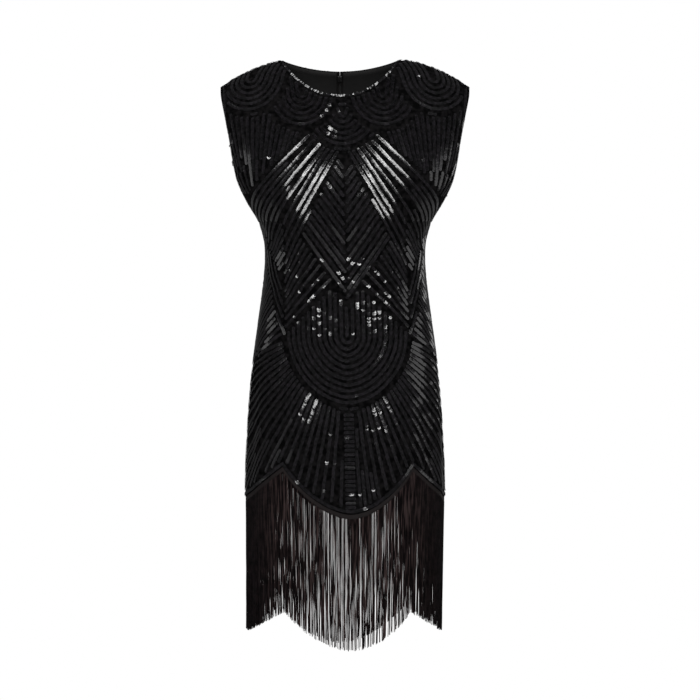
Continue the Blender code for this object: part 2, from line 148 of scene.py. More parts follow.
# Cloth
NET_WALL = 0.8 * MM
LINING_DEPTH = 2.3 * MM
LINING_WALL = 0.5 * MM
LINING_HEM_ROWS = 11
LINING_SETBACK = 5.3 * MM
EDGE_ROLL_RADIUS = 0.9 * MM
INWARD_ROWS, INWARD_COLUMNS = 8, 3
ROLL_SIDES, FINE_SIDES = 6, 4
STITCH_PITCH = 3.2 * MM
STITCH_LENGTH = 2.0 * MM
STITCH_RADIUS = 0.2 * MM
STITCH_INSET, STITCH_LIFT, STITCH_SEAM_CLEAR = 3.4 * MM, 0.1 * MM, 3 * MM

# Back zip
ZIP_END_HEIGHT = -0.42
TOOTH_PITCH = 1.25 * MM
TOOTH_REACH = 1.35 * MM
TOOTH_RADIUS = 0.3 * MM
TOOTH_HOOK = ((1.0, 0.22), (0.1, 0.22), (-0.2, 0), (0.1, -0.22), (1.0, -0.22))
COIL_DEPTH = 2.5 * MM
SLIDER_HEIGHT = -0.008
SLIDER_HOLD = 1.0 * MM
SLIDER_REACH = 3.3 * MM
SEAM_FADE_ABOVE = 2.5 * MM
SEAM_FADE_BELOW = 20.0 * MM
TAPE_END = (4.6 * MM, 4.0 * MM)
TAPE_END_DEPTH = 1.9 * MM
TAPE_END_RADIUS = 0.55 * MM
TAPE_END_ROLLS, TAPE_END_ROWS = 4, 6
TAPE_END_TAPER = (0.5, 1, 1, 1, 1, 1, 0.5)
TAPE_END_GAP, TAPE_END_STAGGER, TAPE_END_DROOP = 0.12 * MM, 0.3 * MM, 0.8 * MM

# Fringe. Threads for each millimetre round, against the mean, by place across; the rest is
# counted in threads or given as lengths.
DENSITY = ((-1, 1.66), (-0.53, 1.78), (-0.43, 1.22), (-0.12, 1.00), (0, 0.91), (0.12, 0.98),
           (0.34, 1.10), (0.44, 1.46), (1, 1.48))
DENSITY_SPREAD, DENSITY_SPACING = 0.10, 40
THREADS = 430
THREAD_RADIUS = 0.575 * MM
THREAD_STEPS = 20
THREAD_TAPER, THREAD_SIZES = 0.12, (0.9, 1.1)
THREAD_LEAN = 0.030
THREAD_UPPER_END = 0.6 * MM
THREAD_BACKSET = 0.4 * MM
END_SPREAD = 2.2 * MM
SHORT_SHARE, SHORT_BY = 0.06, 5 * MM
PLACE_SPREAD = 0.15
FRINGE_INSET = 0.2
SEAM_THREADS = 8
THREAD_CLUMP, THREADS_CLUMPED = 0.45, 2
NO_CLUMP_DENSITY, LEAST_CLUMP, CLUMP_POWER = 1.9, 0.35, 0.8
THREAD_DRIFT, THREADS_DRIFTING = 0.35, 18
THREAD_SWAY, THREADS_SWAYING = 1.6 * MM, 9
TIP_GATHER, THREADS_GATHERED = 0.42, 2.6
TURN_LENGTHS, KINK_LENGTHS = (0.09, 0.16), (0.03, 0.04)
SWING_AT_ROOT, TURN_ASIDE, KINK_ASIDE, TURN_OUTWARD = 0.1, 0.38, 0.12, 0.6
# Painted backlight on the fringe: full within the first distance from the middle, in metres, and
# fading out by the second, where the threads are painted lighter and browner
PAINTED_BACKLIGHT_REACH = (0.08, 0.16)
HEADING_GAP = 0.3 * MM
HEADING_TOP, HEADING_HEIGHT, HEADING_ROWS = 0.4 * MM, 8.2 * MM, 6
HEADING_WALL = 0.9 * MM
HEADING_DEPTH = 0.5 * MM
TUCKED_HEIGHT = 4.0 * MM
TUCKED_DEPTH = 1.0 * MM

rng = np.random.default_rng(1925)


# ---- worn form

def mix(start, end, share):
    return start + (end - start) * share


def read_table(rows, height):
    """Values at heights, on a smooth curve through a table whose heights fall."""
    place, value = np.array(rows).T
    slope = np.zeros(len(place))
    slope[1:-1] = (value[2:] - value[:-2]) / (place[2:] - place[:-2])
    height = np.clip(height, place[-1], place[0])
    k = np.clip(np.searchsorted(-place, -height, side="right") - 1, 0, len(place) - 2)
    span = place[k + 1] - place[k]
    u = (height - place[k]) / span
    start = (2 * u ** 3 - 3 * u ** 2 + 1) * value[k] + (u ** 3 - 2 * u ** 2 + u) * span * slope[k]
    end = (3 * u ** 2 - 2 * u ** 3) * value[k + 1] + (u ** 3 - u ** 2) * span * slope[k + 1]
    return start + end


def shoulder_height(x):
    reach = (abs(x) - SHOULDER_SLOPE_START) / (SHOULDER_TIP_REACH - SHOULDER_SLOPE_START)
    drop = NECK_POINT_HEIGHT - SHOULDER_TIP_HEIGHT
    return NECK_POINT_HEIGHT - drop * np.maximum(reach, 0) ** SHOULDER_SLOPE_POWER


def neckline_height(side, x):
    reach = np.minimum(abs(x - NECK_CENTRE) / NECK_HALF_WIDTH, 1)
    return NECK_POINT_HEIGHT - side.neck_drop * (1 - reach ** side.neck_power)


def ring_point(side, across, height, half_width, centre_depth, edge_depth=0.0, edge_power=1.0):
    angle = np.pi / 2 * across
    bulge = np.maximum(np.cos(angle), 0) ** RING_SQUARENESS
    drift = mix(side.drift[0], side.drift[1], height / HEM.centre)
    x = half_width * np.sin(angle) + drift * np.cos(angle) ** 2
    depth = centre_depth * bulge + edge_depth * (1 - bulge) ** edge_power
    return np.stack([x, side.forward * depth, height + 0 * x], -1)


def yoke_point(side, across, fall):
    edge_height = mix(SHOULDER_TIP_HEIGHT, UNDERARM_HEIGHT, fall)
    depth = side.top_depth * (1 - (1 - fall) ** 2) ** side.rise_power
    tip_share = (1 - fall) ** SHOULDER_TIP_POWER
    edge_share = mix(ARMHOLE_DEPTH_SHARE, SHOULDER_TIP_DEPTH_SHARE, tip_share)
    edge_depth = depth * edge_share * np.sqrt(1 - fall ** UNDERARM_POWER)
    width = read_table(WIDTHS, edge_height)
    point = ring_point(side, across, edge_height, width, depth, edge_depth, 1 + fall ** 2)
    slope_share = (1 - fall) ** SHOULDER_SLOPE_REACH_POWER
    rise = shoulder_height(point[..., 0]) - SHOULDER_TIP_HEIGHT
    point[..., 2] = edge_height + rise * slope_share
    return point


def body_point(side, across, height):
    width, depth = read_table(WIDTHS, height), read_table(side.depths, height)
    return ring_point(side, across, height, width, depth)


def scallop_height(scallop, across):
    reach = abs(across)
    inner = mix(scallop.centre, scallop.notch, (reach / NOTCH_PLACE) ** SCALLOP_POWER)
    outer_share = np.maximum(1 - reach, 0) / (1 - NOTCH_PLACE)
    outer = mix(scallop.side, scallop.notch, outer_share ** SCALLOP_POWER)
    return np.where(reach < NOTCH_PLACE, inner, outer)


def halve(bounds, shape, times, is_beyond):
    """Closes in, at each place of an array, on the number at which a test turns false."""
    low, high = (np.full_like(shape, bound) for bound in bounds)
    for _ in range(times):
        middle = (low + high) / 2
        beyond = is_beyond(middle)
        low, high = np.where(beyond, middle, low), np.where(beyond, high, middle)
    return low


def neckline_fall(side, across):
    """How far down the neck opening cuts each column; 0 on the shoulder seam."""
    def is_open(fall):
        point = yoke_point(side, across, fall)
        return point[..., 2] > neckline_height(side, point[..., 0])

    low = halve((0, NECKLINE_LOWEST_FALL), across, HALVINGS, is_open)
    top = yoke_point(side, across, np.zeros_like(across))
    return np.where(abs(top[..., 0] - NECK_CENTRE) >= NECK_HALF_WIDTH, 0.0, low)


# ---- cloth of one side

# Columns from the wearer's right edge to the left, with one on each notch and one in the
# middle, and rows from the top edge (0) past the underarm (1) to the hem (2).
SIDE_STEPS, MIDDLE_STEPS, YOKE_STEPS, SKIRT_STEPS = 84, 252, 240, 480


def spaced(marks, steps):
    """Places from the first mark to the last, with so many steps from each to the next."""
    spans = zip(marks, marks[1:], steps)
    places = [np.linspace(start, end, count + 1)[:-1] for start, end, count in spans]
    return np.append(np.concatenate(places), marks[-1])


ACROSS = spaced((-1, -NOTCH_PLACE, NOTCH_PLACE, 1), (SIDE_STEPS, MIDDLE_STEPS, SIDE_STEPS))
DOWN = spaced((0, 1, 2), (YOKE_STEPS, SKIRT_STEPS))
CENTRE = len(ACROSS) // 2
NET_STEP = 3
LINING_STEP = 6
FAR = 1e3
NECK_MOTIF_FOOT = -90


def lengths(points, axis=0):
    """Distance from the first point along a line, or along a grid's columns or rows."""
    steps = np.linalg.norm(np.diff(points, axis=axis), axis=-1)
    start = np.zeros_like(steps[:, :1] if axis else steps[:1])
    return np.concatenate([start, np.cumsum(steps, axis=axis)], axis=axis)


def read_rows(goal, place, rows):
    """Rows of numbers read off between the places where they are known."""
    return np.stack([np.interp(goal, place, column) for column in rows.T], -1)


def unit(vectors):
    return vectors / np.maximum(np.linalg.norm(vectors, axis=-1, keepdims=True), 1e-12)


def corners(grid):
    """A grid's values at the four corners of each of its cells, in order round the cell."""
    return np.stack([grid[:-1, :-1], grid[:-1, 1:], grid[1:, 1:], grid[1:, :-1]])


def grid_normals(points, side):
    across, down = np.gradient(points, axis=1), np.gradient(points, axis=0)
    return unit(np.cross(down, across) * -side.forward)


def crease_depth(side, x, z):
    """Depth of the creases in millimetres, at distances round and heights in millimetres."""
    depth = np.zeros_like(x)
    for x0, z0, x1, z1, width, deepest in CREASES[side.name]:
        run = np.array([x1 - x0, z1 - z0], float)
        share = ((x - x0) * run[0] + (z - z0) * run[1]) / (run @ run)
        near = np.clip(share, 0, 1)
        away = np.hypot(x - x0 - near * run[0], z - z0 - near * run[1])
        swell = mix(CREASE_END_SHARE, 1, np.sin(np.pi * (near * 0.75 + 0.2)))
        depth += deepest * swell * np.exp(-(away / width) ** 2)
    return depth


class Cloth:
    """Fine grid of one side: points, normals, and distances in millimetres."""

    def __init__(self, side):
        self.side = side
        across, down = ACROSS[None, :], DOWN[:, None]
        self.fall = neckline_fall(side, ACROSS)
        upper = yoke_point(side, across, mix(self.fall[None, :], 1.0, np.minimum(down, 1)))
        heights = mix(UNDERARM_HEIGHT, scallop_height(HEM, across), np.maximum(down, 1) - 1)
        lower = body_point(side, across, heights)
        plain = np.where((down <= 1)[..., None], upper, lower)
        normals = grid_normals(plain, side)
        flat = plain * (1, 1, 0)
        self.x = lengths(flat, 1) / MM
        self.x -= self.x[:, CENTRE:CENTRE + 1]
        self.z = plain[..., 2] / MM
        drop = lengths(plain, 0) / MM
        seam = np.minimum(self.x[:, -1:] - self.x, self.x - self.x[:, :1])
        calm = np.clip(seam / CREASE_FADE, 0, 1) * np.clip(drop / CREASE_TOP_FADE, 0, 1)
        if side is BACK:
            calm = calm * np.clip((abs(self.x) - CREASE_ZIP_CLEAR) / CREASE_ZIP_FADE, 0, 1)
        depth = crease_depth(side, self.x, self.z) * calm
        self.points = plain - normals * depth[..., None] * MM
        self.normals = grid_normals(self.points, side)
        self.hem_shift = self.points[-1] - plain[-1]
        self.top = drop
        self.hem = drop[-1:] - drop
        self.arm = np.where(down < 1, seam, FAR)
        edge = self.points[0][self.fall > ONTO_NECKLINE]
        self.neck = np.full(self.x.shape, FAR)
        near = self.z > NECK_MOTIF_FOOT
        close = self.points[near]
        least = np.full(len(close), 1.0)
        for point in edge[::2]:
            least = np.minimum(least, np.linalg.norm(close - point, axis=1))
        self.neck[near] = least / MM


# ---- rows of sequins

# Slopes of the slanting rows, by the height at which each crosses a line down the cloth
RAY_LINE, SIDE_LINE = 60, 115
RAY_SLOPES = (
    (-90, 0.80), (-110, 0.92), (-155, 1.13), (-191, 1.50), (-249, 1.75),
    (-300, 1.60), (-350, 1.25), (-400, 0.95), (-470, 0.80),
)
SIDE_SLOPES = ((-180, 1.3), (-330, 1.2), (-400, 1.0), (-440, 0.8), (-466, 0.5))
SLOPE_SPAN = (-900.0, 200.0)
ROW_HALVINGS = 30

# Rings of the yoke, and single rows along the edges: their distance from the edge, between
# two bounds
Fan = namedtuple("Fan", "x z radius flare tilt")
FANS = (Fan(172, -13, 67, 0.15, 4), Fan(73, -42, 65, 0.25, 14), Fan(0, -79, 63, 0.35, 14))
RING_SPACE, RING_EDGE, FAN_HOLLOW = 4, 1, 2
EdgeRow = namedtuple("EdgeRow", "inner middle outer")
NECK_ROW, ARM_ROW, HEM_ROW = EdgeRow(1, 2.4, 4), EdgeRow(5, 8, 10), EdgeRow(2, 5, 8)
NECK_LOOKS = {"tilt": 3, "rise": 0.5, "radius": 2.0, "unevenness": 7}
NECK_CLEAR, ARM_CLEAR, HEM_CLEAR, SEAM_CLEAR, SHOULDER_CLEAR = 6, 11, 8, 5, 4
SINGLE = 100

# Lines between the motifs: a place on each and its slope
Line = namedtuple("Line", "x z slope")
YOKE_EDGE = Line(63, -112, -0.90)
VEE_EDGE = Line(0, -402, 1.38)
VALLEY = Line(112, -364, 1.05)
FLANK = Line(160, -305, -1.0)
SUN_EDGE = Line(115, -466, -0.45)
YOKE_FOOT, YOKE_ROWS_MEET, YOKE_ROWS_SPREAD, YOKE_MIDDLE = -222, -236, 143, 161
VEE_TOP, VEE_SPREAD, VEE_START, VEE_GAP = -140, 0.504, 4, 0.4
RAYS_FOOT, INNER_RAYS, RAYS_START = -407, 112, -155
BUST_FOOT = -262
OUTER_EDGE, OUTER_FOOT, OUTER_SPREAD, OUTER_SLOPE = 113, -470, 0.36, 2.2
BOWL_REACH, BOWL_RIM, BOWL_DROP, BOWL_POWER, BOWL_ROWS = 115, -466, 124, 1.75, 12
BOWL_HEAD, BOWL_VEE_CLEAR, STEM_REACH = -415, 12, 4
BOWL_HOLLOW, BOWL_EDGE, BOWL_CLEAR = 0.06, 1.005, 1.03
SUN_MIDDLE, SUN_HUB, SUN_ROW_SCALE, SUN_STEP = 8, -430, 3.2, 7.6
VEE_PITCH, RAY_PITCH, OUTER_PITCH, SIDE_PITCH = (n * ROW_PITCH for n in (1.7, 1.95, 2.3, 1.4))
FINEST = 0.25
UPRIGHT_TILT, YOKE_TILT, RAY_TILT, BOWL_TILT = 4, 14, 3, -5

# Tilts that change between two places
VEE_TILT = (-285, -240), (3, -3)
BUST_TILT = (80, 120), (SEQUIN_TILT, RAY_TILT)
SUN_TILT = (-110, -80), (-8, 3)

# A motif's rows lie where its field is a whole number of pitches, inside its mask. Where
# rows spread apart, others start between them, down to the finest share of the pitch. Its
# sequins lean back by the tilt, one number or a grid, and keep a share of the rise of the
# cloth's direction.
Motif = namedtuple("Motif", "mask field pitch finest tilt rise radius unevenness",
                   defaults=(ROW_PITCH, 1, SEQUIN_TILT, 1, SEQUIN_RADIUS, SEQUIN_UNEVENNESS))
Row = namedtuple("Row", "points along normals tilt roll radius unevenness")


def slanting(slopes, line, a, z):
    """Height at which the slanting row through each point crosses its line."""
    place, value = np.array(slopes, float)[::-1].T
    return halve(SLOPE_SPAN, z, ROW_HALVINGS,
                 lambda at: at - np.interp(at, place, value) * (a - line) <= z)


def fan_distance(fan, a, z):
    """Size of the bowl through each point: round below the fan's centre, flared above."""
    rise = z - fan.z
    return np.hypot(a - fan.x, np.minimum(rise, 0)) - fan.flare * np.maximum(rise, 0)


def line_height(line, a):
    return line.z + line.slope * (a - line.x)


def motifs(cloth):
    """Rows of each motif in the order that they're sewn."""
    a, z, neck, arm, hem = abs(cloth.x), cloth.z, cloth.neck, cloth.arm, cloth.hem
    open_seam = a > SEAM_CLEAR if cloth.side is BACK else a >= 0

    def edge_row(distance, row, where=True, **looks):
        inside = open_seam & (distance > row.inner) & (distance < row.outer) & where
        return Motif(inside, distance - row.middle, SINGLE, **looks)

    # Edges
    free = open_seam & (neck > NECK_CLEAR) & (arm > ARM_CLEAR) & (hem > HEM_CLEAR)
    yield edge_row(neck, NECK_ROW, **NECK_LOOKS)
    yield edge_row(arm, ARM_ROW, cloth.top > SHOULDER_CLEAR)
    yield edge_row(hem, HEM_ROW)

    # Yoke: fans, and upright rows below the outer ones
    hollows = np.zeros_like(free)
    for fan in FANS:
        reach = fan_distance(fan, a, z)
        inside = (reach > FAN_HOLLOW) & (reach < fan.radius + RING_EDGE)
        yield Motif(free & inside, reach - fan.radius, tilt=fan.tilt)
        hollows |= free & (reach <= FAN_HOLLOW)
        free = free & (reach > fan.radius + RING_SPACE)
    yield Motif(hollows, neck - NECK_ROW.middle, tilt=UPRIGHT_TILT)
    edge = line_height(YOKE_EDGE, a)
    width = (np.maximum(z - YOKE_ROWS_MEET, 1) / YOKE_ROWS_SPREAD) ** 0.5
    yield Motif(free & (z > edge) & (z > YOKE_FOOT), (a - YOKE_MIDDLE) / width, tilt=YOKE_TILT)
    free = free & (z < edge)

    # Chevrons down the middle, and rays from the bust to the waist
    vee_line = line_height(VEE_EDGE, a)
    vee = (a < (VEE_TOP - z) * VEE_SPREAD) & (z > vee_line)
    yield Motif(free & vee & (a > VEE_GAP), z - VEE_EDGE.slope * a - VEE_START, VEE_PITCH,
                finest=FINEST, tilt=np.interp(z, *VEE_TILT))
    rays = slanting(RAY_SLOPES, RAY_LINE, a, z)
    valley = line_height(VALLEY, a)
    beyond = (z > valley) & (z > line_height(FLANK, a))
    fanned = (rays > RAYS_FOOT) & ((a <= INNER_RAYS) | beyond)
    tilt = np.where(rays > BUST_FOOT, np.interp(a, *BUST_TILT), RAY_TILT)
    yield Motif(free & ~vee & fanned, rays - RAYS_START, RAY_PITCH, finest=FINEST, tilt=tilt,
                radius=RAY_SEQUIN_RADIUS)
    outer = (a > OUTER_EDGE) & (z < valley) & (a - BOWL_REACH < (z - OUTER_FOOT) * OUTER_SPREAD)
    yield Motif(free & outer, z - OUTER_SLOPE * (a - INNER_RAYS), OUTER_PITCH, finest=FINEST)

    # Bowl of nested rows on the hips
    sides, foot = a / BOWL_REACH, np.maximum(BOWL_RIM - z, 0) / BOWL_DROP
    bowl = (sides ** BOWL_POWER + foot ** BOWL_POWER) ** (1 / BOWL_POWER)
    inside = (bowl < BOWL_EDGE) & (a <= BOWL_REACH) & (rays <= BOWL_HEAD)
    inside = inside & (z < vee_line - BOWL_VEE_CLEAR) & free & ~vee
    if cloth.side is FRONT:
        yield Motif(inside & (a < STEM_REACH) & (z > BOWL_RIM), cloth.x, SINGLE, tilt=BOWL_TILT)
    yield Motif(inside & (bowl > BOWL_HOLLOW), (bowl - 1) * BOWL_ROWS * ROW_PITCH,
                tilt=BOWL_TILT)

    # Slanting rows at the sides, and a sunburst below the bowl
    top_of_sun = line_height(SUN_EDGE, a)
    side = (a > OUTER_EDGE) & ~outer & ~fanned & (z > top_of_sun)
    yield Motif(free & side, slanting(SIDE_SLOPES, SIDE_LINE, a, z), SIDE_PITCH,
                finest=FINEST)
    low = free & (z <= top_of_sun) & (bowl > BOWL_CLEAR)
    yield Motif(low & (a < SUN_MIDDLE), z, SUN_STEP, tilt=UPRIGHT_TILT)
    yield Motif(low & (a > SUN_MIDDLE), np.degrees(np.arctan2(a, SUN_HUB - z)) * SUN_ROW_SCALE,
                finest=FINEST, tilt=np.interp(cloth.x, *SUN_TILT))


def contours(field, mask, level):
    """Chains of (row, column) places along one level of a field, inside a mask."""
    above = corners(field > level)
    crossed = corners(mask).all(0) & above.any(0) & ~above.all(0)
    links, places = {}, {}
    for i, j in np.argwhere(crossed):
        hits = []
        for edge in ((i, j, i, j + 1), (i, j + 1, i + 1, j + 1),
                     (i + 1, j, i + 1, j + 1), (i, j, i + 1, j)):
            start, end = field[edge[:2]], field[edge[2:]]
            if (start > level) != (end > level):
                share = (level - start) / (end - start)
                places[edge] = (mix(edge[0], edge[2], share), mix(edge[1], edge[3], share))
                hits.append(edge)
        for one, other in zip(hits[::2], hits[1::2]):
            links.setdefault(one, []).append(other)
            links.setdefault(other, []).append(one)
    chains, used = [], set()
    for start in sorted(links, key=lambda edge: len(links[edge])):
        chain, edge = [], start
        while edge is not None and edge not in used:
            used.add(edge)
            chain.append(places[edge])
            edge = next((k for k in links[edge] if k not in used), None)
        if len(chain) >= LEAST_PLACES:
            chains.append(np.array(chain))
    return chains


def sample(grid, places):
    """Values of a grid at fractional (row, column) places."""
    places = np.clip(places, 0, np.array(grid.shape[:2]) - 1.001)
    (a, b), (u, v) = places.astype(int).T, (places % 1).T[..., None]
    upper = grid[a, b] * (1 - v) + grid[a, b + 1] * v
    lower = grid[a + 1, b] * (1 - v) + grid[a + 1, b + 1] * v
    return upper * (1 - u) + lower * u


def runs_of(flags, least):
    """Neighbouring places whose flag is set, at least so many together."""
    places = np.flatnonzero(flags)
    runs = np.split(places, np.flatnonzero(np.diff(places) > 1) + 1)
    return [run for run in runs if len(run) >= least]


def sewn_cell(point):
    return tuple(int(v // FILLER_CLEAR[1]) for v in point)


def is_clear(point, sewn, clearance):
    """Whether no other row's sequin lies near a point, in millimetres."""
    cells = product(*((n - 1, n, n + 1) for n in sewn_cell(point)))
    return all(math.dist(point, spot) >= clearance
               for cell in cells for spot in sewn.get(cell, ()))


def sew_rows(cloth):
    """Rows of sequins over one side, none too near to another."""
    sewn, rows = {}, []
    for motif in motifs(cloth):
        field = motif.field / motif.pitch
        low, high = field[motif.mask].min(), field[motif.mask].max()
        share = 1.0
        while share >= motif.finest:
            for k in range(math.ceil(low / share), math.floor(high / share) + 1):
                if share < 1 and k % 2 == 0:
                    continue
                for chain in contours(field, motif.mask, k * share):
                    rows += sew_chain(cloth, chain, sewn, share < 1, motif)
            share /= 2
    return rows


def sew_chain(cloth, chain, sewn, between, motif):
    """Rows at the sequins' pitch along a chain of places, broken where others are near."""
    least, clear = (LEAST_FILLERS, FILLER_CLEAR) if between else (LEAST_SEQUINS, ROW_CLEAR)
    line = sample(cloth.points, chain) / MM
    along = lengths(line)
    count = int(along[-1] / SEQUIN_PITCH)
    if count < least:
        return []
    goal = (np.arange(count) + 0.5) * along[-1] / count
    places = read_rows(goal, along, chain)
    spots = sample(cloth.points, places) / MM
    clearance = rng.uniform(*clear)
    tilts = np.broadcast_to(motif.tilt, cloth.x.shape)[..., None]
    made = []
    for run in runs_of([is_clear(spot, sewn, clearance) for spot in spots], least):
        part = spots[run]
        for spot in part:
            sewn.setdefault(sewn_cell(spot), []).append(spot)
        normals = sample(cloth.normals, places[run])
        beside = np.cross(normals, unit(np.gradient(part, axis=0)))
        part = part + beside * smooth_noise(len(part), ROW_WANDER_SPACING)[:, None] * ROW_WANDER
        downward = unit(np.gradient(part, axis=0))
        if part[0][2] < part[-1][2]:
            downward = -downward
        downward[downward[:, 2] > RISING] *= -1
        normals = unit(normals * (1, 1, motif.rise))
        tilt = sample(tilts, places[run])[:, 0] + rng.normal(0, ROW_UNEVENNESS)
        roll = rng.normal(0, ROW_UNEVENNESS)
        made.append(Row(part, downward, normals, tilt, roll, motif.radius, motif.unevenness))
    return made


def smooth_noise(count, spacing):
    """Random curve through a number of places, with bumps about spacing places apart."""
    values = rng.normal(0, 1, int(count / spacing) + 2)
    share, base = np.modf(np.arange(count) / spacing)
    base = base.astype(int)
    return mix(values[base], values[base + 1], share * share * (3 - 2 * share))


def loosen(points, normals, faces):
    """Turns short runs of loose sequins to hang forwards and a little upwards."""
    share = np.full(len(points), LOOSE_SHARE)
    for oval in CRUMPLED:
        away = np.hypot((points[:, 0] - oval.x) / oval.across, (points[:, 2] - oval.z) / oval.down)
        share = np.maximum(share, oval.share * (away < 1))
    for start in np.flatnonzero(rng.random(len(points)) < share):
        run = slice(start, start + rng.integers(*LOOSE_RUN))
        angle = np.radians(rng.normal(LOOSE_RISE, LOOSE_UNEVENNESS))
        flat = unit(normals[run] * LOOSE_FACING)
        flat[:, 0] += np.radians(rng.normal(0, LOOSE_UNEVENNESS))
        faces[run] = unit(flat * math.cos(angle) + np.array([0, 0, math.sin(angle)]))


def per_sequin(rows, field):
    return np.concatenate([np.full(len(row.points), getattr(row, field)) for row in rows])


def sequin_mesh(name, rows, look):
    """Slightly cupped round sequins with a hole, overlapping along their rows."""
    points, normals, along = (np.concatenate([getattr(row, part) for row in rows])
                              for part in ("points", "normals", "along"))
    count = len(points)
    uneven = per_sequin(rows, "unevenness")
    tilt, roll = (np.radians(per_sequin(rows, turn) + rng.normal(0, uneven))[:, None]
                  for turn in ("tilt", "roll"))
    beside = unit(np.cross(normals, along))
    along = np.cross(beside, normals)
    faces = normals * np.cos(tilt) - along * np.sin(tilt)
    faces = faces * np.cos(roll) + beside * np.sin(roll)
    loosen(points, normals, faces)
    one = unit(np.cross(beside, faces))
    two = np.cross(faces, one)
    sway = rng.normal(0, SEQUIN_SWAY, count)[:, None]
    centre = (points + normals * SEQUIN_LIFT + beside * sway)[:, None]
    k = np.arange(SEQUIN_SIDES)
    angle = (rng.random(count)[:, None] + k) * (2 * np.pi / SEQUIN_SIDES)
    ring = np.cos(angle)[..., None] * one[:, None] + np.sin(angle)[..., None] * two[:, None]
    size = 1 + rng.normal(0, SEQUIN_SIZE_SPREAD, count)
    radius = (per_sequin(rows, "radius") * size)[:, None, None]
    cup = faces[:, None] * SEQUIN_CUP
    rims = np.concatenate([centre + ring * radius + cup, centre + ring * SEQUIN_HOLE - cup], 1)
    after = (k + 1) % SEQUIN_SIDES
    quads = np.stack([k, after, after + SEQUIN_SIDES, k + SEQUIN_SIDES], 1)
    firsts = np.arange(count)[:, None, None] * 2 * SEQUIN_SIDES
    faces = (quads + firsts).reshape(-1, 4)
    return mesh_object(name, rims.reshape(-1, 3) * MM, faces, look, smooth=False)


# ---- objects

def add_object(name, data):
    made = bpy.data.objects.new(name, data)
    bpy.context.scene.collection.objects.link(made)
    return made


def mesh_object(name, points, faces, look, smooth=True):
    mesh = bpy.data.meshes.new(name)
    faces = np.asarray(faces)
    mesh.vertices.add(len(points))
    mesh.vertices.foreach_set("co", np.asarray(points, np.float32).ravel())
    mesh.loops.add(faces.size)
    mesh.loops.foreach_set("vertex_index", faces.astype(np.int32).ravel())
    mesh.polygons.add(len(faces))
    starts = np.arange(0, faces.size, faces.shape[1], dtype=np.int32)
    mesh.polygons.foreach_set("loop_start", starts)
    mesh.update(calc_edges=True)
    mesh.polygons.foreach_set("use_smooth", np.full(len(faces), smooth))
    mesh.materials.append(look)
    mesh.validate()
    return add_object(name, mesh)


def layer_area(points):
    """Area of one grid layer in square metres."""
    first, second, third, fourth = corners(points)
    one, other = (np.linalg.norm(np.cross(third - first, corner - first), axis=2)
                  for corner in (second, fourth))
    return float((one + other).sum() / 2)


def sheet_mesh(name, points, flip, thickness, look):
    """A grid of points as one layer of cloth, with its area, and its thickness inwards."""
    faces = corners(np.arange(points[..., 0].size).reshape(points.shape[:2])).reshape(4, -1).T
    made = mesh_object(name, points.reshape(-1, 3), faces[:, ::-1] if flip else faces, look)
    made["area"] = layer_area(points)
    wall = made.modifiers.new("wall", "SOLIDIFY")
    wall.thickness, wall.offset, wall.use_even_offset = thickness, -1, False
    return made


def seam_spread(height):
    """Half the gap in the centre back seam, which the zip's slider holds open round itself."""
    above = (height - SLIDER_HEIGHT - SLIDER_REACH) / SEAM_FADE_ABOVE
    below = (SLIDER_HEIGHT - SLIDER_REACH - height) / SEAM_FADE_BELOW
    share = 1 - np.clip(np.maximum(above, below), 0, 1)
    return mix(SEAM_GAP / 2, SLIDER_HOLD, share * share * (3 - 2 * share))


def lining_setback(height):
    """How far the back lining's edge lies from the centre seam, clear of the zip's tapes."""
    return np.where(height > ZIP_END_HEIGHT, LINING_SETBACK, SEAM_GAP / 2)


def panel(name, cloth, rows, columns, depth, wall, look, setback=None):
    """One layer of cloth over some of a side's grid, at a depth inside its face."""
    points = (cloth.points - cloth.normals * depth)[rows, columns]
    forward = cloth.side.forward
    points[..., 1] = forward * np.maximum(forward * points[..., 1], 0)
    ascending = points[0, -1, 0] > points[0, 0, 0]
    if setback:
        outward = 1 if ascending else -1
        seam = points[:, :1, 0]
        least = setback(points[:, :1, 2])
        points[..., 0] = seam + outward * np.maximum(outward * (points[..., 0] - seam), least)
    return sheet_mesh(name, points, ascending == (forward < 0), wall, look)


def tube_mesh(name, lines, radii, sides, look):
    """Tubes round lines of points, each with one radius or a list of them."""
    points, faces, first = [], [], 0
    angle = np.arange(sides) * 2 * np.pi / sides
    for line, radius in zip(lines, radii):
        ahead = unit(np.gradient(line, axis=0))
        guide = (1.0, 0, 0) if abs(ahead[:, 1]).mean() > 0.8 else (0, 1.0, 0)
        one = unit(np.cross(ahead, guide))
        two = np.cross(ahead, one)
        ring = np.cos(angle)[:, None, None] * one + np.sin(angle)[:, None, None] * two
        size = np.broadcast_to(radius, len(line))[:, None]
        points.append((line + ring * size).transpose(1, 0, 2).reshape(-1, 3))
        k = np.arange(len(line) * sides).reshape(len(line), sides) + first
        after = np.roll(k, -1, axis=1)
        faces.append(np.stack([k[:-1], after[:-1], after[1:], k[1:]], -1).reshape(-1, 4))
        first += len(line) * sides
    return mesh_object(name, np.concatenate(points), np.concatenate(faces), look)


# ---- edges and stitches

def edge_lines(cloth):
    """Neck edge and both armhole edges of one side, with the cloth's directions there."""
    cut = np.flatnonzero(cloth.fall > ONTO_NECKLINE)
    cut = np.arange(cut[0] - 1, cut[-1] + 2)
    below = cloth.points[INWARD_ROWS, cut]
    lines = {"neck": (cloth.points[0, cut], cloth.normals[0, cut], below)}
    rows = slice(0, YOKE_STEPS + 1)
    for label, column, inner in (("armhole_right", 0, INWARD_COLUMNS),
                                 ("armhole_left", -1, -1 - INWARD_COLUMNS)):
        lines[label] = (cloth.points[rows, column], cloth.normals[rows, column],
                        cloth.points[rows, inner])
    return lines


